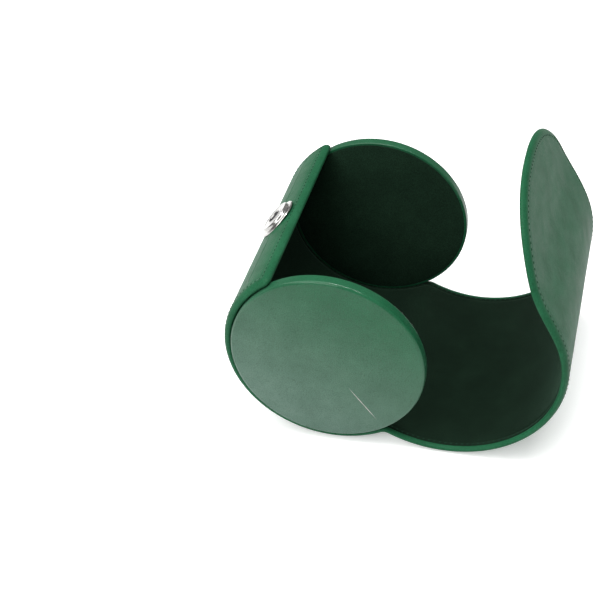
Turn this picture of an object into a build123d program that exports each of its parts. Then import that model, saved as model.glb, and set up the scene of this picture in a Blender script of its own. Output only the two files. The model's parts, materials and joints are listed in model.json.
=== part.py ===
from build123d import *
import os
from math import cos, degrees, radians, sin, tan

os.makedirs("parts", exist_ok=True)

# Leather roll-up cup with two end discs. It lies open on its side, in millimetres.
# +Y runs along the cup, from the front disc to the back disc. +X points to the open flap.
# +Z is up and the floor is z = 0. The origin is on the floor, under the middle of the open cup.

# Whole cup
LENGTH = 99.0  # from one end face to the other
DISC_RADIUS = 38.0
CUP_X = -24.41  # the cup's own axis, so that the open cup is centred on the origin
HALF = LENGTH / 2

# Layers of the fixed wrap and of the flap, from the outside inwards
LEATHER = 1.2
WRAP_BOARD = 1.2
WRAP_LINING = 0.8
FLAP_BOARD = 1.0
FLAP_LINING = 0.6
WRAP_THICKNESS = LEATHER + WRAP_BOARD + WRAP_LINING
FLAP_THICKNESS = LEATHER + FLAP_BOARD + FLAP_LINING
OUTER_RADIUS = DISC_RADIUS + WRAP_THICKNESS
FLOOR_FLAT = 0.05  # how far the leather flattens where it rests on the floor
CUP_Z = OUTER_RADIUS - FLOOR_FLAT  # height of the cup's axis when it lies on the floor

# The fixed wrap goes from its straight free edge, down the left side, to the crease
EDGE_ANGLE = 121.0
CREASE_ANGLE = 301.0

# Sewn edges: leather turned over the board, and a thread sunk in a groove
TURNED_EDGE = 1.2
SEAM_INSET = 3.6
THREAD_WIDTH = 0.5
THREAD_DEPTH = 0.3

# End discs, from the outside inwards
DISC_LEATHER = 1.1
DISC_PADDING = 1.4
DISC_BOARD = 1.3
DISC_LINING = 0.8
DISC_THICKNESS = DISC_LEATHER + DISC_PADDING + DISC_BOARD + DISC_LINING
DISC_ROUNDING = 1.4

# The flap bends at evenly spread lines. Each stretch between two lines is stiff.
# One row per stretch: length, whether it is curved like the cup, direction when open,
# direction when closed. Directions are at mid-stretch, in degrees from +X towards +Z.
JOINT_GAP = 0.4
RING_START = CREASE_ANGLE - 360.0 + 90.0


def ring_direction(distance):
    """Direction of a closed flap this far from the crease, where it lies round the discs."""
    return RING_START + degrees(distance / OUTER_RADIUS)


STRETCHES = (
    (22.0, True, -15.36, ring_direction(11.0)),
    (22.0, True, 10.9, ring_direction(33.0)),
    (22.0, True, 38.6, ring_direction(55.0)),
    (22.0, True, 66.3, ring_direction(77.0)),
    (20.0, True, 92.8, ring_direction(98.0)),
    (14.0, False, 113.0, 172.0),
    (13.0, False, 116.0, 192.5),
    (28.0, False, 109.5, 228.0),
)
FLAP_LENGTH = sum(row[0] for row in STRETCHES)
TIP_DEPTH = 45.0  # the round end of the flap is half an ellipse this deep

# Magnetic snap: the magnet half is on the wrap, the steel half is under the end of the flap
SNAP_ANGLE = 138.0
SNAP_RADIUS = 9.0
SNAP_SEAT = 0.3  # how far the flat case is pressed into the curved leather
SNAP_FLANGE = 0.9  # its thickness
SNAP_HEIGHT = 2.0
SNAP_DRUM_RADIUS = 7.2
SNAP_CASE_TOP = 0.3
SNAP_ROUNDING = 0.5
SNAP_HOLE_RADIUS = 2.8
MAGNET_RADIUS = 6.3
PRONG_OFFSET = 3.6
PRONG_WIDTH = 2.4
PRONG_THICKNESS = 0.5
WASHER_RADIUS = 6.0
WASHER_THICKNESS = 0.4
PLATE_RADIUS = 8.5
PLATE_PROUD = 0.5
PLATE_FROM_BEND = 12.5  # middle of the steel half, from the flap's last bend
FIT = 0.05

AXIS = Plane(origin=(CUP_X, 0, CUP_Z), x_dir=(1, 0, 0), z_dir=(0, -1, 0))


def finish(builder, name):
    """Name a finished piece and write it."""
    builder.part.label = name
    export_step(builder.part, f"parts/{name}.step")


def on_circle(centre, radius, angle):
    """Point on a circle in the XZ plane."""
    return (centre[0] + radius * cos(radians(angle)), centre[1] + radius * sin(radians(angle)))


def ring_sector(plane, inner, outer, start, end):
    """Draw a piece of a ring, between two radii and two angles, as a sketch on the plane."""
    with BuildSketch(plane) as sketch:
        with BuildLine():
            CenterArc((0, 0), outer, start, end - start)
            Line(on_circle((0, 0), outer, end), on_circle((0, 0), inner, end))
            CenterArc((0, 0), inner, start, end - start)
            Line(on_circle((0, 0), outer, start), on_circle((0, 0), inner, start))
        make_face()
    return sketch.sketch


def ring_piece(plane, inner, outer, start, end, half_width):
    """A bent strip, as long as the angle says and centred across the cup."""
    return extrude(ring_sector(plane, inner, outer, start, end), amount=half_width, both=True,
                   mode=Mode.PRIVATE)


def ring_rims(plane, inner, outer, start, end, near, far):
    """Two bent strips, one at each side, between two distances from mid-length."""
    whole = ring_piece(plane, inner, outer, start, end, far)
    return whole - ring_piece(plane, inner - 1, outer + 1, start - 1, end + 1, near)


# ---------------------------------------------------------------- flap layout
def flap_layout():
    """Where each stretch of the open flap starts, and the centre that a curved one bends round."""
    x, z = on_circle((CUP_X, CUP_Z), OUTER_RADIUS, CREASE_ANGLE)
    layout = []
    for length, curved, direction, _ in STRETCHES:
        turn = degrees(length / OUTER_RADIUS)
        chord = 2 * OUTER_RADIUS * sin(radians(turn / 2)) if curved else length
        first = direction - turn / 2 if curved else direction
        centre = on_circle((x, z), OUTER_RADIUS, first + 90)
        layout.append(
            {"start": (x, z), "centre": centre, "first": first, "turn": turn,
             "direction": direction, "length": length, "curved": curved}
        )
        x, z = on_circle((x, z), chord, direction)
    return layout


def hinge_turns():
    """How far each bend turns from open to closed, counted from the stretch before it."""
    turns = []
    before = 0.0
    for _, _, opened, closed in STRETCHES:
        turns.append(closed - opened - before)
        before = closed - opened
    return turns


def closed_mitres():
    """Half the inward fold at each bend when the flap is closed, for the straight stretches."""
    mitres = []
    for index, (length, curved, _, closed) in enumerate(STRETCHES):
        previous = STRETCHES[index - 1] if index else None
        straight_pair = previous is not None and not curved and not previous[1]
        mitres.append(max(closed - previous[3], 0.0) / 2 if straight_pair else 0.0)
    return mitres + [0.0]


LAYOUT = flap_layout()
MITRES = closed_mitres()


# ---------------------------------------------------------------- fixed wrap
def wrap_angle(distance, radius=OUTER_RADIUS):
    return degrees(distance / radius)


WRAP_END = CREASE_ANGLE - wrap_angle(JOINT_GAP / 2)
SNAP_DIRECTION = Vector(cos(radians(SNAP_ANGLE)), 0, sin(radians(SNAP_ANGLE)))
SNAP_PLANE = Plane(
    origin=Vector(CUP_X, 0, CUP_Z) + SNAP_DIRECTION * OUTER_RADIUS,
    x_dir=(0, 1, 0),
    z_dir=SNAP_DIRECTION,
)
lining_outside = DISC_RADIUS + WRAP_LINING
board_outside = lining_outside + WRAP_BOARD
board_half = HALF - TURNED_EDGE
board_start = EDGE_ANGLE + wrap_angle(TURNED_EDGE)
seam_low = HALF - SEAM_INSET - THREAD_WIDTH / 2
seam_high = HALF - SEAM_INSET + THREAD_WIDTH / 2
groove_floor = OUTER_RADIUS - THREAD_DEPTH
edge_seam_start = EDGE_ANGLE + wrap_angle(SEAM_INSET - THREAD_WIDTH / 2)
edge_seam_end = EDGE_ANGLE + wrap_angle(SEAM_INSET + THREAD_WIDTH / 2)


def prong_legs(plane, low, high, clearance):
    """Two flat legs through the layers, drawn about the snap's middle."""
    with BuildPart(mode=Mode.PRIVATE) as legs:
        with BuildSketch(plane.offset(low)):
            with Locations((-PRONG_OFFSET, 0), (PRONG_OFFSET, 0)):
                Rectangle(PRONG_THICKNESS + 2 * clearance, PRONG_WIDTH + 2 * clearance)
        extrude(amount=high - low)
    return legs.part


def round_block(plane, radius, low, high):
    with BuildPart(mode=Mode.PRIVATE) as block:
        with BuildSketch(plane.offset(low)):
            Circle(radius)
        extrude(amount=high - low)
    return block.part


washer_low = -(WRAP_THICKNESS - WRAP_LINING) + 0.15
washer_high = washer_low + WASHER_THICKNESS

with BuildPart() as wrap_leather:
    add(ring_piece(AXIS, board_outside, OUTER_RADIUS, EDGE_ANGLE, WRAP_END, HALF))
    add(ring_rims(AXIS, DISC_RADIUS, board_outside, EDGE_ANGLE, WRAP_END, board_half, HALF))
    add(ring_piece(AXIS, DISC_RADIUS, board_outside, EDGE_ANGLE, board_start, HALF))
    add(
        ring_rims(AXIS, groove_floor, OUTER_RADIUS + 1, edge_seam_start, WRAP_END + 1, seam_low, seam_high),
        mode=Mode.SUBTRACT,
    )
    add(
        ring_piece(AXIS, groove_floor, OUTER_RADIUS + 1, edge_seam_start, edge_seam_end, seam_high),
        mode=Mode.SUBTRACT,
    )
    add(round_block(SNAP_PLANE, SNAP_RADIUS + FIT, -SNAP_SEAT, 3), mode=Mode.SUBTRACT)
    add(prong_legs(SNAP_PLANE, -3, 1, FIT), mode=Mode.SUBTRACT)
    split(bisect_by=Plane.XY, keep=Keep.TOP)
finish(wrap_leather, "wrap_leather")

with BuildPart() as wrap_board:
    add(ring_piece(AXIS, lining_outside, board_outside, board_start, WRAP_END, board_half))
    add(prong_legs(SNAP_PLANE, -4, 1, FIT), mode=Mode.SUBTRACT)
    add(round_block(SNAP_PLANE, WASHER_RADIUS + FIT, -4, washer_high), mode=Mode.SUBTRACT)
finish(wrap_board, "wrap_board")

with BuildPart() as wrap_lining:
    add(ring_piece(AXIS, DISC_RADIUS, lining_outside, board_start, WRAP_END, board_half))
finish(wrap_lining, "wrap_lining")

with BuildPart() as wrap_thread:
    add(ring_rims(AXIS, groove_floor, OUTER_RADIUS, edge_seam_start, WRAP_END, seam_low, seam_high))
    add(ring_piece(AXIS, groove_floor, OUTER_RADIUS, edge_seam_start, edge_seam_end, seam_high))
finish(wrap_thread, "wrap_thread")


# ---------------------------------------------------------------- end discs
def disc_plane(side, depth):
    """Plane across the cup, this far in from the end face, facing out of the cup."""
    return Plane(origin=(CUP_X, side * (HALF - depth), CUP_Z), x_dir=(1, 0, 0), z_dir=(0, side, 0))


def disc_layer(side, name, depth, thickness):
    """One of the flat layers inside a disc's leather cover."""
    with BuildPart() as layer:
        with BuildSketch(disc_plane(side, depth + thickness)):
            Circle(DISC_RADIUS - DISC_LEATHER)
        extrude(amount=thickness)
    finish(layer, name)


for side, end_name in ((-1, "front"), (1, "back")):
    with BuildPart() as disc_cover:
        with BuildSketch(disc_plane(side, DISC_THICKNESS)):
            Circle(DISC_RADIUS)
        extrude(amount=DISC_THICKNESS)
        outer_face = disc_cover.faces().sort_by(Axis.Y)[0 if side < 0 else -1]
        fillet(outer_face.edges(), DISC_ROUNDING)
        with BuildSketch(disc_plane(side, DISC_THICKNESS)):
            Circle(DISC_RADIUS - DISC_LEATHER)
        extrude(amount=DISC_THICKNESS - DISC_LEATHER, mode=Mode.SUBTRACT)
    finish(disc_cover, f"{end_name}_disc_cover")
    disc_layer(side, f"{end_name}_disc_padding", DISC_LEATHER, DISC_PADDING)
    disc_layer(side, f"{end_name}_disc_board", DISC_LEATHER + DISC_PADDING, DISC_BOARD)
    disc_layer(side, f"{end_name}_disc_lining", DISC_THICKNESS - DISC_LINING, DISC_LINING)


# ---------------------------------------------------------------- snap on the wrap
SNAP_AXIS = Axis(SNAP_PLANE.origin, SNAP_PLANE.z_dir)
magnet_high = SNAP_HEIGHT - SNAP_CASE_TOP

with BuildPart() as snap_case:
    add(round_block(SNAP_PLANE, SNAP_RADIUS, -SNAP_SEAT, SNAP_FLANGE - SNAP_SEAT))
    add(round_block(SNAP_PLANE, SNAP_DRUM_RADIUS, 0, SNAP_HEIGHT))
    rim = snap_case.edges().filter_by(GeomType.CIRCLE).sort_by(SNAP_AXIS)[-1]
    fillet(rim, SNAP_ROUNDING)
    add(round_block(SNAP_PLANE, MAGNET_RADIUS, -SNAP_SEAT, magnet_high), mode=Mode.SUBTRACT)
    add(round_block(SNAP_PLANE, SNAP_HOLE_RADIUS, 0, SNAP_HEIGHT), mode=Mode.SUBTRACT)
finish(snap_case, "snap_case")

with BuildPart() as snap_magnet:
    add(round_block(SNAP_PLANE, MAGNET_RADIUS, 0, magnet_high))
    add(round_block(SNAP_PLANE, SNAP_HOLE_RADIUS, 0, magnet_high), mode=Mode.SUBTRACT)
finish(snap_magnet, "snap_magnet")

with BuildPart() as snap_prongs:
    add(round_block(SNAP_PLANE, MAGNET_RADIUS, -SNAP_SEAT, 0))
    add(prong_legs(SNAP_PLANE, washer_high, -SNAP_SEAT, 0))
finish(snap_prongs, "snap_prongs")

with BuildPart() as snap_washer:
    add(round_block(SNAP_PLANE, WASHER_RADIUS, washer_low, washer_high))
finish(snap_washer, "snap_washer")


# ---------------------------------------------------------------- flap, curved stretches
def number_name(index, piece):
    return f"flap_{index + 1}_{piece}"


def curved_stretch(index, row):
    """Leather, board, lining and thread of one stretch that lies round the discs when closed."""
    x, z = row["centre"]
    plane = Plane(origin=(x, 0, z), x_dir=(1, 0, 0), z_dir=(0, -1, 0))
    gap = wrap_angle(JOINT_GAP / 2)
    start = row["first"] - 90 + gap
    end = row["first"] - 90 + row["turn"] - gap
    inside = OUTER_RADIUS - FLAP_THICKNESS
    lining_top = inside + FLAP_LINING
    board_top = lining_top + FLAP_BOARD

    with BuildPart() as leather:
        add(ring_piece(plane, board_top, OUTER_RADIUS, start, end, HALF))
        add(ring_rims(plane, inside, board_top, start, end, board_half, HALF))
        add(
            ring_rims(plane, groove_floor, OUTER_RADIUS + 1, start - 1, end + 1, seam_low, seam_high),
            mode=Mode.SUBTRACT,
        )
        split(bisect_by=Plane.XY, keep=Keep.TOP)
    finish(leather, number_name(index, "leather"))

    with BuildPart() as board:
        add(ring_piece(plane, lining_top, board_top, start, end, board_half))
    finish(board, number_name(index, "board"))

    with BuildPart() as lining:
        add(ring_piece(plane, inside, lining_top, start, end, board_half))
    finish(lining, number_name(index, "lining"))

    with BuildPart() as thread:
        add(ring_rims(plane, groove_floor, OUTER_RADIUS, start, end, seam_low, seam_high))
    finish(thread, number_name(index, "thread"))


# ---------------------------------------------------------------- flap, straight end stretches
def stretch_plane(row):
    """Plane on the leather, +X along the flap and +Z inwards to the lining."""
    turned = radians(row["direction"])
    return Plane(
        origin=(row["start"][0], 0, row["start"][1]),
        x_dir=(cos(turned), 0, sin(turned)),
        z_dir=(-sin(turned), 0, cos(turned)),
    )


def side_profile(plane, length, low, high, mitres, full_width):
    """A flat stretch between two heights, its ends cut back for the bends."""
    side = Plane(origin=plane.origin, x_dir=plane.x_dir, z_dir=-plane.y_dir)
    start_slope = tan(radians(mitres[0]))
    end_slope = tan(radians(mitres[1]))
    first = JOINT_GAP / 2
    last = length - (JOINT_GAP / 2 if mitres[2] else 0)
    with BuildPart(mode=Mode.PRIVATE) as block:
        with BuildSketch(side):
            Polygon(
                (first + low * start_slope, low),
                (last - low * end_slope, low),
                (last - high * end_slope, high),
                (first + high * start_slope, high),
                align=None,
            )
        extrude(amount=full_width, both=True)
    return block.part


def flap_outline(plane, begins, inset, low, high):
    """Block in the flap's flat outline: parallel sides, then half an ellipse at the tip."""
    round_start = FLAP_LENGTH - TIP_DEPTH - begins
    width = 2 * (HALF - inset)
    with BuildPart(mode=Mode.PRIVATE) as block:
        with BuildSketch(plane.offset(low)):
            with Locations((round_start, 0)):
                Ellipse(TIP_DEPTH - inset, HALF - inset)
                Rectangle(FLAP_LENGTH, width, align=(Align.MAX, Align.CENTER))
        extrude(amount=high - low)
    return block.part


def straight_stretch(index, row, begins):
    """Leather, board, lining and thread of one stretch near the tip."""
    plane = stretch_plane(row)
    has_bend_after = index + 1 < len(LAYOUT)
    mitres = (MITRES[index], MITRES[index + 1], has_bend_after)
    lining_low = LEATHER + FLAP_BOARD
    holds_snap = not has_bend_after
    snap_plane = Plane(
        origin=plane.origin + plane.x_dir * PLATE_FROM_BEND,
        x_dir=(0, 1, 0),
        z_dir=plane.z_dir,
    )

    def layer(low, high, inset):
        profile = side_profile(plane, row["length"], low, high, mitres, HALF)
        return profile & flap_outline(plane, begins, inset, low, high)

    def seam(low, high):
        outside = flap_outline(plane, begins, SEAM_INSET - THREAD_WIDTH / 2, low, high)
        inside = flap_outline(plane, begins, SEAM_INSET + THREAD_WIDTH / 2, low, high)
        profile = side_profile(plane, row["length"], low, high, mitres, HALF)
        return profile & (outside - inside)

    with BuildPart() as leather:
        add(layer(0, LEATHER, 0))
        add(layer(LEATHER, FLAP_THICKNESS, 0) - flap_outline(plane, begins, TURNED_EDGE, LEATHER, FLAP_THICKNESS))
        add(seam(0, THREAD_DEPTH), mode=Mode.SUBTRACT)
    finish(leather, number_name(index, "leather"))

    with BuildPart() as board:
        add(layer(LEATHER, lining_low, TURNED_EDGE))
        if holds_snap:
            add(round_block(snap_plane, WASHER_RADIUS, LEATHER, LEATHER + WASHER_THICKNESS), mode=Mode.SUBTRACT)
            add(prong_legs(snap_plane, LEATHER, lining_low, 0), mode=Mode.SUBTRACT)
    finish(board, number_name(index, "board"))

    with BuildPart() as lining:
        add(layer(lining_low, FLAP_THICKNESS, TURNED_EDGE))
        if holds_snap:
            add(round_block(snap_plane, PLATE_RADIUS, lining_low, FLAP_THICKNESS), mode=Mode.SUBTRACT)
    finish(lining, number_name(index, "lining"))

    with BuildPart() as thread:
        add(seam(0, THREAD_DEPTH))
    finish(thread, number_name(index, "thread"))

    if holds_snap:
        with BuildPart() as snap_plate:
            add(round_block(snap_plane, PLATE_RADIUS, lining_low, FLAP_THICKNESS + PLATE_PROUD))
            add(prong_legs(snap_plane, LEATHER + WASHER_THICKNESS, lining_low, 0))
        finish(snap_plate, "flap_snap_plate")

        with BuildPart() as flap_washer:
            add(round_block(snap_plane, WASHER_RADIUS, LEATHER, LEATHER + WASHER_THICKNESS))
        finish(flap_washer, "flap_snap_washer")


begins = 0.0
for index, row in enumerate(LAYOUT):
    if row["curved"]:
        curved_stretch(index, row)
    else:
        straight_stretch(index, row, begins)
    begins += row["length"]
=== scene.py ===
import json
import math

import bpy
import numpy as np
from mathutils import Matrix, Vector


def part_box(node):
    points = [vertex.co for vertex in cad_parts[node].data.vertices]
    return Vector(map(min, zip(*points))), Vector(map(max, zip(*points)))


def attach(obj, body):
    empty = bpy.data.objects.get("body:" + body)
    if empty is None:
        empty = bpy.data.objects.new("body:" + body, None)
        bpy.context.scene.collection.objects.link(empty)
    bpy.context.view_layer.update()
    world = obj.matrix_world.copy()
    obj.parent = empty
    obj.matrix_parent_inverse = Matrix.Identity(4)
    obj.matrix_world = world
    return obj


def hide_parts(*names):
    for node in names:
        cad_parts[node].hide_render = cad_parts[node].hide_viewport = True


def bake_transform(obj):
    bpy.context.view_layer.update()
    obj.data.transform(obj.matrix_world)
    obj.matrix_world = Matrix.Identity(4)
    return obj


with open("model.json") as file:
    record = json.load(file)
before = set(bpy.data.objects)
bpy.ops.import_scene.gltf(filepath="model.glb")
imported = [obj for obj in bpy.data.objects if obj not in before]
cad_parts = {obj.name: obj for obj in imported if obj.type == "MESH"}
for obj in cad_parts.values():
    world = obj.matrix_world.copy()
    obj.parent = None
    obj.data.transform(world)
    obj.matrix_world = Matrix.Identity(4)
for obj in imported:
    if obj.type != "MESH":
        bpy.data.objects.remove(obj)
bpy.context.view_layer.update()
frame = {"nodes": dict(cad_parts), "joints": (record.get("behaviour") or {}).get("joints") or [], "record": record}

MM = 0.001

# ---------------------------------------------------------------- measures from the frame
record = frame["record"]
joints = frame["joints"]
cup_x, half_length, cup_z = record["mounts"][0]["pos_m"]
disc_low, disc_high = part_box("front_disc_cover")
disc_radius = (disc_high.z - disc_low.z) / 2
disc_thickness = disc_high.y - disc_low.y
outer_radius = cup_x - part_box("wrap_leather")[0].x
crease = joints[0]["pos_m"]
crease_angle = math.atan2(crease[2] - cup_z, crease[0] - cup_x) + 2 * math.pi
edge_angle = crease_angle - math.pi  # the wrap goes half way round the discs
tip_low, tip_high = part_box("flap_8_leather")

# Sewn sheet of leather, board and velvet: thickness and edge, as the CAD layers have them
WRAP_THICKNESS = outer_radius - disc_radius
FLAP_THICKNESS = 2.8 * MM
SHEET_INSET = 1.5 * MM  # the sheet's sides stop a little behind the discs' faces
sheet_half = half_length - SHEET_INSET
TIP_DEPTH = 45 * MM
TIP_FULLNESS = 2.3  # 2 is half an ellipse, more is fuller at the shoulders
CORNER_ROUNDING = 2.5 * MM
SEAM_INSET = 2.8 * MM
GRID_INSET = 8 * MM
CREASE_LENGTH = 3.0 * MM
THINNING_LENGTH = 8 * MM  # before the crease the sheet thins from wrap to flap over this length
STITCH_PITCH = 2.3 * MM
STITCH_LENGTH = 1.45 * MM
THREAD_RADIUS = 0.27 * MM
STITCH_SLANT = 0.10

# The old scratch on the front face: its middle, measured from the face's middle, and its half sizes
SCRATCH_X = 13.5 * MM
SCRATCH_DROP = 18.5 * MM
SCRATCH_SLOPE = math.radians(56)
SCRATCH_HALF_SIZE = (10 * MM, 3 * MM, 0.22 * MM)
PAINTED_REFLECTION_SLOPE = math.radians(117)  # the way the painted reflection of the floor makes the front face paler, down and to the left


# ---------------------------------------------------------------- materials
# Texture scales are in cells per metre.
def new_material(name, roughness, **sockets):
    """A Principled material with constants on its own sockets. Returns it with its nodes."""
    material = bpy.data.materials.new(name)
    material.use_nodes = True
    nodes = material.node_tree.nodes
    shader = nodes["Principled BSDF"]
    shader.inputs["Roughness"].default_value = roughness
    for socket, value in sockets.items():
        shader.inputs[socket.replace("_", " ")].default_value = value
    return material, nodes, material.node_tree.links, shader


def noise(nodes, links, coordinates, scale, detail=2.0, roughness=0.5):
    texture = nodes.new("ShaderNodeTexNoise")
    texture.inputs["Scale"].default_value = scale
    texture.inputs["Detail"].default_value = detail
    texture.inputs["Roughness"].default_value = roughness
    links.new(coordinates, texture.inputs["Vector"])
    return texture.outputs["Fac"]


def ramp(nodes, links, factor, stops):
    """Colour ramp with (position, colour) stops."""
    node = nodes.new("ShaderNodeValToRGB")
    elements = node.color_ramp.elements
    while len(elements) < len(stops):
        elements.new(0.5)
    for element, (position, colour) in zip(elements, stops):
        element.position = position
        element.color = (*colour, 1.0) if len(colour) == 3 else colour
    links.new(factor, node.inputs["Fac"])
    return node.outputs["Color"]


def to_range(nodes, links, value, low, high, from_low=0.0, from_high=1.0):
    node = nodes.new("ShaderNodeMapRange")
    node.inputs["From Min"].default_value = from_low
    node.inputs["From Max"].default_value = from_high
    node.inputs["To Min"].default_value = low
    node.inputs["To Max"].default_value = high
    links.new(value, node.inputs["Value"])
    return node.outputs["Result"]


def multiply_colour(nodes, links, colour, factor_colour):
    node = nodes.new("ShaderNodeMix")
    node.data_type = "RGBA"
    node.blend_type = "MULTIPLY"
    node.inputs["Factor"].default_value = 1.0
    links.new(colour, node.inputs["A"])
    links.new(factor_colour, node.inputs["B"])
    return node.outputs["Result"]


def bump(nodes, links, height, strength, distance, normal=None):
    node = nodes.new("ShaderNodeBump")
    node.inputs["Strength"].default_value = strength
    node.inputs["Distance"].default_value = distance
    links.new(height, node.inputs["Height"])
    if normal is not None:
        links.new(normal, node.inputs["Normal"])
    return node.outputs["Normal"]


def coordinates_of(nodes, kind):
    """Where a texture sits: on the flat cut of the sheet, or in the rigid piece."""
    if kind == "sheet":
        node = nodes.new("ShaderNodeUVMap")
        node.uv_map = "sheet"
        return node.outputs["UV"]
    return nodes.new("ShaderNodeTexCoord").outputs["Object"]


def leather_material(name, kind, shine, coat, scratch=None):
    """Smooth green leather: pebbled pores, soft creases, mottled colour, a coat of polish.

    A scratch is (middle, slope, half sizes), and the face that has one also gets a painted reflection of the
    floor, paler and greyer towards the lower left.
    """
    material, nodes, links, shader = new_material(
        name, 0.45, Specular_IOR_Level=shine, Coat_Weight=coat, Coat_Roughness=0.12
    )
    place = coordinates_of(nodes, kind)
    pebbles = nodes.new("ShaderNodeTexVoronoi")
    pebbles.feature = "DISTANCE_TO_EDGE"
    pebbles.inputs["Scale"].default_value = 1300
    links.new(place, pebbles.inputs["Vector"])
    valleys = to_range(nodes, links, pebbles.outputs["Distance"], 0.0, 1.0, 0.0, 0.18)
    pores = noise(nodes, links, place, 2600, 3.0, 0.6)
    creases = noise(nodes, links, place, 300, 4.0, 0.62)
    fine = bump(nodes, links, valleys, 0.22, 0.00012)
    porous = bump(nodes, links, pores, 0.16, 0.0001, fine)
    creased = bump(nodes, links, creases, 0.08, 0.0003, porous)
    mottle = ramp(nodes, links, noise(nodes, links, place, 90, 5.0, 0.65), (
        (0.30, (0.0105, 0.070, 0.031)),
        (0.52, (0.0130, 0.081, 0.037)),
        (0.72, (0.0160, 0.092, 0.043)),
    ))
    # the colour is darker in the grain's valleys
    darker_in_valleys = ramp(nodes, links, valleys, ((0.0, (0.72, 0.76, 0.72)), (0.7, (1.0, 1.0, 1.0))))
    coloured = multiply_colour(nodes, links, mottle, darker_in_valleys)
    if scratch:
        # painted reflection of the floor: the face is painted paler and greyer towards its lower left
        coloured = multiply_colour(nodes, links, coloured, painted_floor_reflection(nodes, links))
        mark = scratch_mask(nodes, links, *scratch)
        creased = bump(nodes, links, mark, 0.6, 0.0004, creased)
        worn = ramp(nodes, links, mark, ((0.0, (1.0, 1.0, 1.0)), (0.4, (8.0, 3.4, 4.8))))
        coloured = multiply_colour(nodes, links, coloured, worn)
    links.new(creased, shader.inputs["Normal"])
    links.new(coloured, shader.inputs["Base Color"])
    links.new(to_range(nodes, links, noise(nodes, links, place, 160, 3.0), 0.42, 0.50, 0.3, 0.7),
              shader.inputs["Roughness"])
    return material


def scratch_mask(nodes, links, middle, slope, half_size):
    """White on a thin straight scratch that lies on an end face, black elsewhere."""
    place = nodes.new("ShaderNodeTexCoord").outputs["Object"]
    mapping = nodes.new("ShaderNodeMapping")
    mapping.vector_type = "TEXTURE"
    mapping.inputs["Location"].default_value = middle
    mapping.inputs["Rotation"].default_value = (0, slope, 0)
    mapping.inputs["Scale"].default_value = half_size
    links.new(place, mapping.inputs["Vector"])
    streak = nodes.new("ShaderNodeTexGradient")
    streak.gradient_type = "SPHERICAL"
    links.new(mapping.outputs["Vector"], streak.inputs["Vector"])
    return streak.outputs["Fac"]


def painted_floor_reflection(nodes, links):
    """Painted reflection of the white floor: the front face is deep green at its top and painted paler and greyer
    towards the lower left.
    """
    place = nodes.new("ShaderNodeTexCoord").outputs["Object"]
    down = Vector((math.cos(PAINTED_REFLECTION_SLOPE), 0, -math.sin(PAINTED_REFLECTION_SLOPE)))
    mapping = nodes.new("ShaderNodeMapping")
    mapping.vector_type = "TEXTURE"
    mapping.inputs["Location"].default_value = Vector((cup_x, 0, cup_z)) - down * disc_radius
    mapping.inputs["Rotation"].default_value = (0, PAINTED_REFLECTION_SLOPE, 0)
    mapping.inputs["Scale"].default_value = (2 * disc_radius, 1, 1)
    links.new(place, mapping.inputs["Vector"])
    across = nodes.new("ShaderNodeTexGradient")
    links.new(mapping.outputs["Vector"], across.inputs["Vector"])
    return ramp(nodes, links, across.outputs["Fac"], (
        (0.12, (0.80, 1.02, 0.98)),
        (0.50, (2.80, 1.22, 1.65)),
        (0.88, (4.80, 1.50, 2.45)),
    ))


def velvet_material(name, kind, painted_light_level):
    """Short dark green pile: brushed patches, fine fibres, a soft sheen and a little lint."""
    material, nodes, links, shader = new_material(
        name, 0.95, Specular_IOR_Level=0.08, Sheen_Weight=0.16, Sheen_Roughness=0.35
    )
    shader.inputs["Sheen Tint"].default_value = (0.30, 0.62, 0.42, 1.0)
    place = coordinates_of(nodes, kind)
    patches = noise(nodes, links, place, 55, 4.0, 0.6)
    # the pile's colours are scaled by a painted light level: painted shade on velvet that faces the lamps, painted
    # light on velvet in shade
    pile = ramp(nodes, links, patches, (
        (0.32, (0.0052 * painted_light_level, 0.0165 * painted_light_level, 0.0086 * painted_light_level)),
        (0.55, (0.0070 * painted_light_level, 0.0212 * painted_light_level, 0.0112 * painted_light_level)),
        (0.74, (0.0094 * painted_light_level, 0.0270 * painted_light_level, 0.0146 * painted_light_level)),
    ))
    fibres = noise(nodes, links, place, 3200, 2.0, 0.7)
    speckle = ramp(nodes, links, fibres, ((0.35, (0.55, 0.55, 0.55)), (0.66, (1.35, 1.35, 1.35))))
    coloured = multiply_colour(nodes, links, pile, speckle)
    links.new(coloured, shader.inputs["Base Color"])
    rough = bump(nodes, links, fibres, 0.55, 0.0003)
    brushed = bump(nodes, links, patches, 0.25, 0.0010, rough)
    links.new(brushed, shader.inputs["Normal"])
    return material


def thread_material():
    material, nodes, links, shader = new_material("green_thread", 0.8, Specular_IOR_Level=0.12)
    place = nodes.new("ShaderNodeTexCoord").outputs["Object"]
    twist = noise(nodes, links, place, 4000, 1.0)
    colour = ramp(nodes, links, twist, ((0.35, (0.003, 0.018, 0.009)), (0.65, (0.008, 0.040, 0.020))))
    links.new(colour, shader.inputs["Base Color"])
    links.new(bump(nodes, links, twist, 0.5, 0.0001), shader.inputs["Normal"])
    return material


def board_material():
    material, nodes, links, shader = new_material("grey_board", 0.9)
    place = nodes.new("ShaderNodeTexCoord").outputs["Object"]
    flecks = noise(nodes, links, place, 900, 4.0, 0.7)
    colour = ramp(nodes, links, flecks, ((0.35, (0.26, 0.21, 0.15)), (0.65, (0.42, 0.36, 0.28))))
    links.new(colour, shader.inputs["Base Color"])
    links.new(bump(nodes, links, flecks, 0.3, 0.0002), shader.inputs["Normal"])
    return material


def foam_material():
    material, nodes, links, shader = new_material("cream_foam", 0.95)
    place = nodes.new("ShaderNodeTexCoord").outputs["Object"]
    cells = noise(nodes, links, place, 1600, 3.0, 0.6)
    colour = ramp(nodes, links, cells, ((0.35, (0.55, 0.50, 0.38)), (0.65, (0.72, 0.68, 0.56))))
    links.new(colour, shader.inputs["Base Color"])
    links.new(bump(nodes, links, cells, 0.6, 0.0003), shader.inputs["Normal"])
    return material


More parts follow.
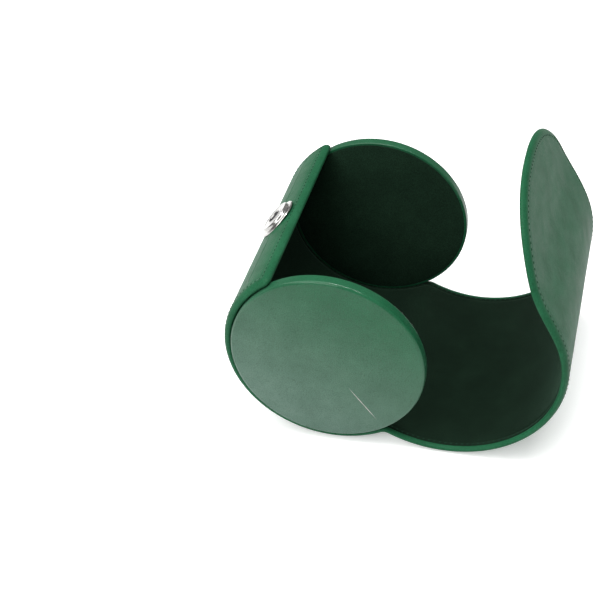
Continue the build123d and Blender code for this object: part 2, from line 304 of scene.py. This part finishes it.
def metal_material(name, light, dark, roughness):
    """Plated metal with fine handling marks and slightly uneven polish."""
    material, nodes, links, shader = new_material(name, roughness, Metallic=1.0)
    place = nodes.new("ShaderNodeTexCoord").outputs["Object"]
    clouds = noise(nodes, links, place, 500, 3.0, 0.6)
    colour = ramp(nodes, links, clouds, ((0.3, dark), (0.7, light)))
    links.new(colour, shader.inputs["Base Color"])
    links.new(to_range(nodes, links, clouds, roughness * 0.7, roughness * 1.5, 0.3, 0.7),
              shader.inputs["Roughness"])
    links.new(bump(nodes, links, noise(nodes, links, place, 2200, 2.0), 0.08, 0.0001),
              shader.inputs["Normal"])
    return material


sheet_leather = leather_material("green_leather_sheet", "sheet", shine=0.05, coat=0.0)
disc_leather = leather_material("green_leather_discs", "object", shine=0.04, coat=0.38)
# The front face's leather: an old scratch, and a painted reflection of the floor that makes it paler towards the
# lower left.
scratched_leather_with_painted_reflection = leather_material("green_leather_front", "object", shine=0.04, coat=0.38, scratch=(
    (cup_x + SCRATCH_X, -half_length, cup_z - SCRATCH_DROP),
    SCRATCH_SLOPE,
    SCRATCH_HALF_SIZE,
))
# Painted light: the sheet's velvet faces the lamps and is painted darker, and the discs' velvet lies in the cup's
# shade and is painted lighter.
sheet_velvet = velvet_material("green_velvet_sheet", "sheet", painted_light_level=0.55)
disc_velvet = velvet_material("green_velvet_discs", "object", painted_light_level=1.12)
thread = thread_material()
board = board_material()
foam = foam_material()
nickel = metal_material("nickel", (0.52, 0.51, 0.49), (0.30, 0.30, 0.29), 0.16)
steel = metal_material("plated_steel", (0.60, 0.60, 0.60), (0.42, 0.42, 0.42), 0.35)
magnet = metal_material("dark_magnet", (0.16, 0.16, 0.17), (0.08, 0.08, 0.085), 0.45)


# ---------------------------------------------------------------- mesh helpers
def mesh_object(name, points, faces, material, flat=None, smooth=True):
    """A mesh object, with the flat cut of the sheet as its UV map where it has one."""
    mesh = bpy.data.meshes.new(name)
    mesh.from_pydata([tuple(p) for p in points], [], [tuple(f) for f in faces])
    mesh.update()
    if flat is not None:
        layer = mesh.uv_layers.new(name="sheet")
        index = np.empty(len(mesh.loops), int)
        mesh.loops.foreach_get("vertex_index", index)
        layer.data.foreach_set("uv", np.asarray(flat, np.float32)[index].ravel())
    mesh.polygons.foreach_set("use_smooth", [smooth] * len(mesh.polygons))
    mesh.materials.append(material)
    obj = bpy.data.objects.new(name, mesh)
    bpy.context.scene.collection.objects.link(obj)
    return obj


def lathe(name, profile, material, place, segments=144):
    """Turned piece: (radius, height) points round the Z axis of the matrix `place`."""
    points, faces = [], []
    rings = []
    for radius, height in profile:
        if radius < 1e-9:
            rings.append([len(points)])
            points.append(place @ Vector((0, 0, height)))
            continue
        rings.append(list(range(len(points), len(points) + segments)))
        for k in range(segments):
            turn = 2 * math.pi * k / segments
            points.append(place @ Vector((radius * math.cos(turn), radius * math.sin(turn), height)))
    for first, second in zip(rings, rings[1:]):
        for k in range(segments):
            after = (k + 1) % segments
            if len(first) == 1:
                faces.append((first[0], second[k], second[after]))
            elif len(second) == 1:
                faces.append((first[k], second[0], first[after]))
            else:
                faces.append((first[k], second[k], second[after], first[after]))
    return mesh_object(name, points, faces, material)


def arc_profile(centre, size, start, end, steps):
    """Points on a quarter-round or any arc of an ellipse, as (radius, height)."""
    angles = np.radians(np.linspace(start, end, steps))
    return [(centre[0] + size[0] * math.cos(a), centre[1] + size[1] * math.sin(a)) for a in angles]


# ---------------------------------------------------------------- line of the sheet, seen from the end
def spline(points, first_direction, step):
    """Smooth cubic through the points, starting in a given direction. Dense (x, z) points."""
    points = np.array(points)
    chords = np.linalg.norm(np.diff(points, axis=0), axis=1)
    count = len(points)
    matrix = np.zeros((count, count))
    right = np.zeros((count, 2))
    matrix[0, 0] = 1.0
    right[0] = first_direction
    for i in range(1, count - 1):
        before, after = chords[i - 1], chords[i]
        matrix[i, i - 1] = after
        matrix[i, i] = 2 * (before + after)
        matrix[i, i + 1] = before
        right[i] = 3 * (
            after * (points[i] - points[i - 1]) / before + before * (points[i + 1] - points[i]) / after
        )
    matrix[-1, -2:] = (1, 2)
    right[-1] = 3 * (points[-1] - points[-2]) / chords[-1]
    slopes = np.linalg.solve(matrix, right)
    dense = []
    for i in range(count - 1):
        length = chords[i]
        for t in np.arange(0, 1, step / length):
            dense.append(
                (2 * t**3 - 3 * t**2 + 1) * points[i]
                + (t**3 - 2 * t**2 + t) * length * slopes[i]
                + (3 * t**2 - 2 * t**3) * points[i + 1]
                + (t**3 - t**2) * length * slopes[i + 1]
            )
    dense.append(points[-1])
    return np.array(dense)


def flap_tip(last_pivot):
    """Where the outer leather of the straight end stretch stops."""
    along = Vector((tip_low.x - last_pivot[0], 0, tip_high.z - last_pivot[1]))
    thick_side = Vector((-along.z, 0, along.x)).normalized() * FLAP_THICKNESS
    return (tip_low.x - thick_side.x, tip_high.z - thick_side.z)


def sheet_line():
    """Outer face of the sheet from the straight edge, round the cup, over the crease, to the tip."""
    step = 0.2 * MM
    wrap_length = outer_radius * (crease_angle - edge_angle)
    turns = np.linspace(edge_angle, crease_angle, int(wrap_length / step))
    wrap = np.stack([cup_x + outer_radius * np.cos(turns), cup_z + outer_radius * np.sin(turns)], 1)
    pivots = [(j["pos_m"][0], j["pos_m"][2]) for j in joints]
    tip = flap_tip(pivots[-1])
    stretch = np.array(tip) - np.array(pivots[-1])
    beyond = [tuple(pivots[-1] + stretch * share) for share in (0.3, 0.65)]
    first_chord = np.array(pivots[1]) - np.array(pivots[0])
    second_chord = np.array(pivots[2]) - np.array(pivots[1])
    turn = math.atan2(second_chord[1], second_chord[0]) - math.atan2(first_chord[1], first_chord[0])
    first = math.atan2(first_chord[1], first_chord[0]) - turn / 2
    flap = spline(pivots + beyond + [tip], (math.cos(first), math.sin(first)), step)
    cut = int(CREASE_LENGTH / 2 / step)
    start, corner, end = wrap[-1 - cut], flap[0], flap[cut]
    fold = [
        (1 - t) ** 2 * start + 2 * t * (1 - t) * corner + t**2 * end for t in np.linspace(0, 1, 2 * cut + 1)
    ]
    return np.concatenate([wrap[: -1 - cut], np.array(fold), flap[cut + 1 :]]), pivots


line, pivots = sheet_line()
distance = np.concatenate([[0], np.cumsum(np.linalg.norm(np.diff(line, axis=0), axis=1))])


def nearest_distance(point):
    return distance[np.argmin(np.linalg.norm(line - np.array(point), axis=1))]


crease_at = nearest_distance(pivots[0])
distance = distance - crease_at
pivot_at = [nearest_distance(p) for p in pivots]
sheet_start = distance[0]
flap_length = distance[-1]
round_start = flap_length - TIP_DEPTH
tangent = np.gradient(line, distance, axis=0)
tangent /= np.linalg.norm(tangent, axis=1)[:, None]
inward = np.stack([-tangent[:, 1], tangent[:, 0]], 1)


def thickness_at(s):
    blend = np.clip(-np.asarray(s) / THINNING_LENGTH, 0, 1)
    return FLAP_THICKNESS + (WRAP_THICKNESS - FLAP_THICKNESS) * blend


def on_sheet(s, y, height):
    """Place a point of the flat cut in the room. Height 0 is the leather face, 1 the velvet face."""
    s = np.asarray(s, float)
    x = np.interp(s, distance, line[:, 0])
    z = np.interp(s, distance, line[:, 1])
    nx = np.interp(s, distance, inward[:, 0])
    nz = np.interp(s, distance, inward[:, 1])
    deep = np.asarray(height) * thickness_at(s)
    return np.stack([x + nx * deep, np.broadcast_to(y, x.shape), z + nz * deep], -1)


# ---------------------------------------------------------------- flat cut of the sheet
NEAR_EDGE = np.array([0, 0.6, 1.2, 1.8, 2.5, 4.0, 6.0]) * MM
MIDDLE_COLUMNS = 37
TIP_ROWS = 46
ROW_PITCH = 1.5 * MM
CREASE_PITCH = 0.3 * MM
CUT_STEP = 0.35 * MM
CUT_BEFORE_CREASE = 11 * MM
CUT_AFTER_LAST_BEND = 6 * MM


def column_shares():
    """Share of the half width at each column, closer together near the two sides."""
    outer = 1 - NEAR_EDGE / sheet_half
    middle = np.linspace(-outer[-1], outer[-1], MIDDLE_COLUMNS)[1:-1]
    return np.concatenate([-outer, middle, outer[::-1]])


def row_places():
    """Distances along the sheet, closer together at the crease and where pieces meet."""
    rows = list(np.arange(sheet_start + 2 * NEAR_EDGE[-1], round_start, ROW_PITCH))
    rows += list(np.arange(-4 * MM, 4 * MM, CREASE_PITCH))
    for cut in piece_cuts:
        if cut < round_start - 1 * MM:
            rows += [cut - CUT_STEP, cut, cut + CUT_STEP]
    rows = sorted(rows)
    kept = [rows[0]]
    for row in rows[1:]:
        if row - kept[-1] > 0.25 * MM:
            kept.append(row)
    return np.array(kept)


stretch_middle = [(a + b) / 2 for a, b in zip(pivot_at, pivot_at[1:])]
piece_cuts = [-CUT_BEFORE_CREASE] + stretch_middle + [pivot_at[-1] + CUT_AFTER_LAST_BEND]
shares = column_shares()
rows = row_places()


def flat_grid(inset):
    """(s, y) of each grid point when the outline is drawn in by this much."""
    width = sheet_half - inset
    power = TIP_FULLNESS
    grid = []
    first = sheet_start + inset + NEAR_EDGE
    between = np.linspace(first[-1], rows[0], 5)[1:-1]
    for s in np.concatenate([first, between, rows]):
        grid.append([(s, width * v) for v in shares])
    depth = TIP_DEPTH - inset
    for t in np.linspace(0, 1, TIP_ROWS):
        row = []
        for v in shares:
            along = t * math.sqrt(1 - v * v / 2)
            across = v * math.sqrt(1 - t * t / 2)
            out = math.hypot(along, across)
            swell = 1.0
            if out > 0:
                swell = out / (along**power + abs(across) ** power) ** (1 / power)
            row.append((round_start + depth * along * swell, width * across * swell))
        grid.append(row)
    return np.array(grid)


def perimeter(count_rows, count_columns):
    """Grid indices once round the outline."""
    left = [(i, 0) for i in range(count_rows)]
    end = [(count_rows - 1, j) for j in range(1, count_columns)]
    right = [(i, count_columns - 1) for i in range(count_rows - 2, -1, -1)]
    start = [(0, j) for j in range(count_columns - 2, 0, -1)]
    return left + end + right + start


def outline(inset):
    """Points once round the sheet at this distance from its edge, with rounded corners."""
    grid = flat_grid(inset)
    loop = np.array([grid[i, j] for i, j in perimeter(*grid.shape[:2])])
    centre_s = sheet_start + CORNER_ROUNDING
    centre_y = sheet_half - CORNER_ROUNDING
    radius = CORNER_ROUNDING - inset
    if radius > 0:
        for k, (s, y) in enumerate(loop):
            if s < centre_s and abs(y) > centre_y:
                offset = np.array([s - centre_s, abs(y) - centre_y])
                s, y_away = np.array([centre_s, centre_y]) + offset / np.linalg.norm(offset) * radius
                loop[k] = (s, math.copysign(y_away, y))
    return loop


def unevenness(flat, amount):
    """Slow waves of hand-made leather, as a height. The wave numbers are in radians per metre."""
    s, y = flat[:, 0], flat[:, 1]
    waves = np.sin(s * 61 + 2.1 * np.sin(y * 47 + 0.7)) * np.sin(y * 83 + 1.3 * np.sin(s * 39))
    ripples = 0.5 * np.sin(s * 173 + y * 131 + 1.9) * np.sin(y * 211 - s * 97)
    return amount * (waves + ripples)


def sheet_layer(profile, middle_low, middle_high, wave=0.0):
    """Closed layer: outer middle, rings of (inset, height) round the edge, inner middle."""
    base = flat_grid(GRID_INSET)
    count_rows, count_columns = base.shape[:2]
    edge = perimeter(count_rows, count_columns)
    middle = base.reshape(-1, 2)
    flat, heights = [middle], [middle_low + unevenness(middle, wave)]
    for inset, height in profile:
        ring = outline(inset * MM)
        fade = np.clip(inset * MM / GRID_INSET, 0, 1)
        flat.append(ring)
        heights.append(height + unevenness(ring, wave) * fade)
    flat.append(middle)
    heights.append(np.full(len(middle), middle_high))
    counts = np.cumsum([0] + [len(f) for f in flat])
    faces = []
    for i in range(count_rows - 1):
        for j in range(count_columns - 1):
            a = i * count_columns + j
            quad = (a, a + count_columns, a + count_columns + 1, a + 1)
            faces.append(quad)
            faces.append(tuple(counts[-2] + k for k in reversed(quad)))
    inner_edge = [i * count_columns + j for i, j in edge]
    loops = [inner_edge]
    loops += [list(range(counts[k + 1], counts[k + 2])) for k in range(len(profile))]
    loops.append([counts[-2] + k for k in inner_edge])
    for first, second in zip(loops, loops[1:]):
        for k in range(len(first)):
            after = (k + 1) % len(first)
            faces.append((first[k], second[k], second[after], first[after]))
    flat = np.concatenate(flat)
    points = on_sheet(flat[:, 0], flat[:, 1], np.concatenate(heights))
    points[:, 2] = np.maximum(points[:, 2], 0.0)
    return points, faces, flat


# ---------------------------------------------------------------- pieces of the sheet, cut at mid-stretch
BODIES = ["cup"] + [joint["child"] for joint in joints]


def hold(obj, index):
    """Piece 0 rides on the cup and the last on the tip. The others each lie over one joint's bend and stay where
    they are built.
    """
    if index == 0:
        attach(obj, "cup")
    elif index == len(piece_cuts):
        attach(obj, BODIES[-1])
    else:
        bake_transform(obj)


def piece_of(s):
    return int(np.searchsorted(piece_cuts, s))


def cad_nodes(kind, index):
    """CAD nodes that a sheet piece stands for. The piece over a bend stands for the stretch after it."""
    if index == 0:
        return [f"wrap_{kind}"]
    if index == len(piece_cuts):
        return []
    return [f"flap_{index}_{kind}"]


def piece_name(kind, index):
    if index == 0:
        return f"wrap_{kind}_visual"
    if index == len(piece_cuts):
        return f"flap_{kind}_end"
    return f"flap_{kind}_bend_{index}"


def declare_piece(obj, kind, index):
    """Put a piece on the bodies that carry it and hide the CAD nodes that it stands for."""
    hold(obj, index)
    if cad_nodes(kind, index):
        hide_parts(*cad_nodes(kind, index))


def cut_sheet(kind, points, faces, flat, material, slot):
    """Split one layer into its pieces, each an object of its own."""
    centres = np.array([flat[list(f), 0].mean() for f in faces])
    groups = np.searchsorted(piece_cuts, centres)
    for index in range(len(piece_cuts) + 1):
        chosen = [faces[k] for k in np.nonzero(groups == index)[0]]
        used = sorted({v for f in chosen for v in f})
        where = {v: k for k, v in enumerate(used)}
        renumbered = [[where[v] for v in f] for f in chosen]
        obj = mesh_object(piece_name(kind, index), points[used], renumbered, material, flat[used])
        declare_piece(obj, kind, index)


LEATHER_SHARE = 1.2 / 2.8  # leather's part of the thickness
BOARD_LOW = LEATHER_SHARE + 0.01
BOARD_HIGH = 0.81
LEATHER_WAVE = 0.007
LEATHER_EDGE = (
    # inset from the edge in millimetres, height as a share of the thickness
    (6.0, -0.001), (4.9, -0.003), (4.3, 0.0), (3.95, 0.012), (3.6, 0.026), (3.25, 0.016),
    (2.9, 0.008), (2.4, 0.012), (1.8, 0.050), (1.3, 0.115), (0.9, 0.190), (0.55, 0.290),
    (0.28, 0.400), (0.10, 0.510), (0.04, 0.610), (0.10, 0.710), (0.28, 0.810), (0.55, 0.890),
    (0.90, 0.940), (1.30, 0.968), (1.75, 0.968), (2.2, 0.930), (2.5, 0.82), (2.6, LEATHER_SHARE),
    (4.0, LEATHER_SHARE),
)
VELVET_EDGE = (
    (6.0, 1.030), (4.7, 1.028), (4.2, 1.010), (3.9, 0.975), (3.6, 0.945), (3.3, 0.975),
    (3.0, 1.008), (2.5, 1.020), (2.1, 1.005), (1.85, 0.970), (1.75, 0.925), (1.8, 0.88),
    (2.7, 0.86), (4.0, 0.84),
)
BOARD_EDGE = ((4.0, BOARD_LOW), (2.75, BOARD_LOW), (2.75, BOARD_HIGH), (4.0, BOARD_HIGH))

leather_layer = sheet_layer(LEATHER_EDGE, 0.0, LEATHER_SHARE, LEATHER_WAVE)
board_layer = sheet_layer(BOARD_EDGE, BOARD_LOW, BOARD_HIGH)
velvet_layer = sheet_layer(tuple(reversed(VELVET_EDGE)), 0.83, 1.025)
cut_sheet("leather", *leather_layer, sheet_leather, "green_leather")
cut_sheet("board", *board_layer, board, "stiffener_board")
cut_sheet("lining", *velvet_layer, sheet_velvet, "velvet")


# ---------------------------------------------------------------- stitches
# Share of the thickness at which the stitches of each face lie, and the way out of that face
LEATHER_STITCH = (0.045, -1)
VELVET_STITCH = (0.955, 1)


def seam_path():
    """Points of the seam on the flat cut, evenly spaced at the stitch pitch."""
    loop = outline(SEAM_INSET)
    loop = np.concatenate([loop, loop[:1]])
    run = np.concatenate([[0], np.cumsum(np.linalg.norm(np.diff(loop, axis=0), axis=1))])
    count = int(run[-1] / STITCH_PITCH)
    places = (np.arange(count) + 0.5) * run[-1] / count
    middle = np.stack([np.interp(places, run, loop[:, k]) for k in (0, 1)], 1)
    ahead = np.stack([np.interp(places + 0.3 * MM, run, loop[:, k]) for k in (0, 1)], 1)
    heading = ahead - middle
    return middle, heading / np.linalg.norm(heading, axis=1)[:, None]


def stitch_mesh(middle, heading, height, out):
    """One stitch: a thread that dives into the leather at both ends, slightly slanted."""
    points, faces = [], []
    sides, rings = 8, 9
    across = np.array([-heading[1], heading[0]])
    for r in range(rings):
        t = -1 + 2 * r / (rings - 1)
        run = t * STITCH_LENGTH / 2
        centre = middle + heading * run + across * run * STITCH_SLANT
        depth = -THREAD_RADIUS * 1.5 * abs(t) ** 3.5
        fat = THREAD_RADIUS * math.sqrt(max(1 - abs(t) ** 6, 0.05))
        for k in range(sides):
            turn = 2 * math.pi * k / sides
            flat = centre + across * fat * 1.15 * math.cos(turn)
            lift = (depth + fat * math.sin(turn)) * out
            point = on_sheet(flat[0], flat[1], height)
            normal = on_sheet(flat[0], flat[1], height + 0.1) - on_sheet(flat[0], flat[1], height)
            points.append(point + normal / np.linalg.norm(normal) * lift)
    for r in range(rings - 1):
        for k in range(sides):
            after = (k + 1) % sides
            faces.append((r * sides + k, r * sides + after, (r + 1) * sides + after, (r + 1) * sides + k))
    faces.append(tuple(range(sides - 1, -1, -1)))
    faces.append(tuple((rings - 1) * sides + k for k in range(sides)))
    return points, faces


def sew():
    """All stitches on both faces, gathered by the piece of sheet that they lie on."""
    middle, heading = seam_path()
    gathered = {}
    for spot, direction in zip(middle, heading):
        for height, out in (LEATHER_STITCH, VELVET_STITCH):
            points, faces = stitch_mesh(spot, direction, height, out)
            store = gathered.setdefault(piece_of(spot[0]), ([], []))
            offset = len(store[0])
            store[0].extend(points)
            store[1].extend(tuple(offset + v for v in f) for f in faces)
    for index, (points, faces) in sorted(gathered.items()):
        obj = mesh_object(piece_name("thread", index), points, faces, thread)
        declare_piece(obj, "thread", index)


sew()


# ---------------------------------------------------------------- end discs
DISC_DOME = 1.0 * MM
DISC_RIM = 1.3 * MM
DISC_SKIN = 1.1 * MM
PADDING_DEPTH = 1.4 * MM
DISC_BOARD_DEPTH = 1.3 * MM


def disc_place(side):
    """Middle of an end face, with Z out of the cup."""
    turn = Matrix.Rotation(math.radians(90 * -side), 4, "X")
    return Matrix.Translation((cup_x, side * half_length, cup_z)) @ turn


def dome(radius, height):
    """Crowned face: highest in the middle, flat only close to the rim."""
    steps = np.linspace(0, 1, 22)
    return [(radius * t, height * (1 - t**2) ** 1.5 if t < 1 else 0.0) for t in steps]


def cover_profile():
    """Leather cover from the middle of its face, over the rim, down the wall and in behind."""
    wall = disc_radius - 0.12 * MM
    depth = disc_thickness
    profile = dome(wall - DISC_RIM, DISC_DOME)
    profile += arc_profile((wall - DISC_RIM, -DISC_RIM), (DISC_RIM, DISC_RIM), 82, 0, 9)
    profile += [(wall - 0.02 * MM, -depth * 0.5), (wall, -depth + 0.55 * MM)]
    profile += arc_profile((wall - 0.45 * MM, -depth + 0.45 * MM), (0.45 * MM, 0.45 * MM), -15, -90, 6)
    profile += [(wall - 1.0 * MM, -depth + 0.02 * MM), (wall - 1.5 * MM, -depth + 0.15 * MM)]
    profile += [(wall - 1.6 * MM, -depth + 0.6 * MM), (wall - DISC_SKIN, -depth + 0.8 * MM)]
    profile += [(wall - DISC_SKIN, -DISC_SKIN - 0.3 * MM)]
    back = [(r * (wall - DISC_SKIN - 0.3 * MM) / (wall - DISC_RIM), h - DISC_SKIN) for r, h in
            dome(wall - DISC_RIM, DISC_DOME)]
    return profile + back[::-1]


def plate_profile(radius, top, bottom, edge):
    """Flat layer with eased edges."""
    profile = [(0, top), (radius * 0.5, top)]
    profile += arc_profile((radius - edge, top - edge), (edge, edge), 90, 0, 5)
    profile += arc_profile((radius - edge, bottom + edge), (edge, edge), 0, -90, 5)
    return profile + [(radius * 0.5, bottom), (0, bottom)]


def padding_profile(radius):
    """Foam under the leather, crowned like the face."""
    top = [(r * radius / disc_radius, h - DISC_SKIN) for r, h in dome(disc_radius, DISC_DOME)]
    bottom = -DISC_SKIN - PADDING_DEPTH
    return top[:-1] + [(radius, -DISC_SKIN - 0.4 * MM), (radius, bottom), (radius * 0.5, bottom), (0, bottom)]


def end_disc(side, name):
    place = disc_place(side)
    skin = scratched_leather_with_painted_reflection if side < 0 else disc_leather
    cover = lathe(f"{name}_disc_cover_visual", cover_profile(), skin, place)
    inner = disc_radius - DISC_SKIN - 0.15 * MM
    padding = lathe(f"{name}_disc_padding_visual", padding_profile(inner), foam, place, 96)
    board_top = -DISC_SKIN - PADDING_DEPTH - 0.02 * MM
    board_low = board_top - DISC_BOARD_DEPTH
    stiffener = lathe(f"{name}_disc_board_visual", plate_profile(inner, board_top, board_low, 0.2 * MM),
                      board, place, 96)
    lining_low = -disc_thickness - 0.12 * MM
    lining = lathe(f"{name}_disc_lining_visual",
                   plate_profile(disc_radius - 1.15 * MM, board_low - 0.02 * MM, lining_low, 0.32 * MM),
                   disc_velvet, place)
    pieces = ((cover, "cover", "green_leather"), (padding, "padding", "foam"),
              (stiffener, "board", "stiffener_board"), (lining, "lining", "velvet"))
    for obj, kind, slot in pieces:
        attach(obj, "cup")
        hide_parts(f"{name}_disc_{kind}")


end_disc(-1, "front")
end_disc(1, "back")


# ---------------------------------------------------------------- snap
SNAP_CROWN = (
    # radius and height of the case on the wrap, in millimetres from the leather's face
    (2.8, 0.1), (2.8, 1.55), (2.95, 1.85), (3.25, 1.98), (3.7, 2.0), (4.1, 1.9), (4.5, 1.82),
    (5.4, 1.82), (5.8, 1.9), (6.2, 2.0), (6.7, 1.98), (7.05, 1.8), (7.2, 1.45), (7.22, 0.95),
    (7.35, 0.72), (7.7, 0.62), (8.4, 0.6), (8.8, 0.5), (9.0, 0.28), (9.0, 0.0), (8.8, -0.22),
    (8.3, -0.3), (6.4, -0.3),
)
PLATE_CROWN = (
    # radius and height of the steel half, in millimetres from the velvet's face
    (0.0, 0.25), (1.6, 0.25), (2.2, 0.33), (2.6, 0.48), (3.2, 0.5), (6.6, 0.5), (7.1, 0.44),
    (7.4, 0.36), (7.8, 0.38), (8.2, 0.3), (8.45, 0.12), (8.5, -0.1), (8.3, -0.45), (4.0, -0.5), (0.0, -0.5),
)


def axis_place(middle, direction):
    """Matrix at a point, with Z along the direction and Y along the cup."""
    z = Vector(direction).normalized()
    y = Vector((0, 1, 0))
    x = y.cross(z).normalized()
    matrix = Matrix((x, y, z)).transposed().to_4x4()
    return Matrix.Translation(middle) @ matrix


def middle_of(node):
    low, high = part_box(node)
    return (low + high) / 2


PLATE_FROM_BEND = 12.5 * MM  # middle of the steel half, from the flap's last bend


def snap_on_wrap():
    away = middle_of("snap_case") - Vector((cup_x, 0, cup_z))
    away.y = 0
    place = axis_place(Vector((cup_x, 0, cup_z)) + away.normalized() * outer_radius, away)
    crown = [(r * MM, h * MM) for r, h in SNAP_CROWN]
    shell = crown + [(6.4 * MM, 1.5 * MM), (3.1 * MM, 1.5 * MM), (3.1 * MM, 0.1 * MM), crown[0]]
    case = lathe("snap_case_visual", shell, nickel, place)
    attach(case, "cup")
    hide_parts("snap_case")


def snap_on_flap():
    s = pivot_at[-1] + PLATE_FROM_BEND
    spot = Vector(on_sheet(s, 0.0, 1.0))
    away = Vector(on_sheet(s, 0.0, 1.0) - on_sheet(s, 0.0, 0.0))
    plate = lathe("flap_snap_plate_visual", [(r * MM, h * MM) for r, h in PLATE_CROWN], nickel,
                  axis_place(spot, away), 96)
    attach(plate, BODIES[-1])
    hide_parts("flap_snap_plate")
    washer = lathe("flap_snap_washer_visual", plate_profile(6.0 * MM, -0.7 * MM, -1.1 * MM, 0.15 * MM), steel,
                   axis_place(spot, away), 64)
    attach(washer, BODIES[-1])
    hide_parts("flap_snap_washer")


snap_on_wrap()
snap_on_flap()
for node, material in (("snap_magnet", magnet), ("snap_prongs", steel), ("snap_washer", steel)):
    mesh = frame["nodes"][node].data
    mesh.materials.clear()
    mesh.materials.append(material)


# ---------------------------------------------------------------- stage
FLOOR_HALF = 3.0


def floor():
    material, nodes, links, shader = new_material("white_floor", 0.7, Specular_IOR_Level=0.2)
    shader.inputs["Emission Color"].default_value = (1, 1, 1, 1)
    shader.inputs["Emission Strength"].default_value = 0.34
    place = nodes.new("ShaderNodeTexCoord").outputs["Object"]
    paper = ramp(nodes, links, noise(nodes, links, place, 400, 3.0),
                 ((0.3, (0.86, 0.86, 0.86)), (0.7, (0.88, 0.88, 0.88))))
    links.new(paper, shader.inputs["Base Color"])
    corners = [(x * FLOOR_HALF, y * FLOOR_HALF, 0) for x, y in ((-1, -1), (1, -1), (1, 1), (-1, 1))]
    obj = mesh_object("floor", corners, [(0, 1, 2, 3)], material, smooth=False)


def soft_light(name, place, target, size, watts):
    data = bpy.data.lights.new(name, "AREA")
    data.shape = "RECTANGLE"
    data.size, data.size_y = size
    data.energy = watts
    obj = bpy.data.objects.new(name, data)
    bpy.context.scene.collection.objects.link(obj)
    obj.location = place
    obj.rotation_euler = (Vector(target) - Vector(place)).to_track_quat("-Z", "Y").to_euler()


def white_room(strength):
    world = bpy.data.worlds.new("white_room")
    world.use_nodes = True
    world.node_tree.nodes["Background"].inputs["Color"].default_value = (1, 1, 1, 1)
    world.node_tree.nodes["Background"].inputs["Strength"].default_value = strength
    bpy.context.scene.world = world


CAMERA_PLACE = (0.0840, -0.4110, 0.3740)
CAMERA_YAW = -0.312
CAMERA_PITCH = 0.675
CAMERA_ROLL = -0.082
CAMERA_LENS = 80


def camera():
    """Looks down on the front disc from the right, rolled a little."""
    ahead = Vector((
        math.sin(CAMERA_YAW) * math.cos(CAMERA_PITCH),
        math.cos(CAMERA_YAW) * math.cos(CAMERA_PITCH),
        -math.sin(CAMERA_PITCH),
    ))
    level = Vector((math.cos(CAMERA_YAW), -math.sin(CAMERA_YAW), 0))
    above = level.cross(ahead)
    right = math.cos(CAMERA_ROLL) * level + math.sin(CAMERA_ROLL) * above
    up = -math.sin(CAMERA_ROLL) * level + math.cos(CAMERA_ROLL) * above
    data = bpy.data.cameras.new("camera")
    data.lens = CAMERA_LENS
    data.sensor_width = 36
    obj = bpy.data.objects.new("camera", data)
    obj.matrix_world = Matrix.Translation(CAMERA_PLACE) @ Matrix((right, up, -ahead)).transposed().to_4x4()
    bpy.context.scene.collection.objects.link(obj)
    bpy.context.scene.camera = obj


floor()
white_room(0.38)
centre = (0.0, 0.0, 0.04)
soft_light("key", (0.12, -0.05, 0.80), centre, (0.08, 0.50), 4.2)
soft_light("top", (-0.33, -0.12, 0.85), centre, (0.9, 0.9), 9)
soft_light("front", (-0.22, -0.62, 0.52), centre, (0.4, 0.4), 2.5)
camera()
bpy.context.scene.view_settings.view_transform = "Standard"
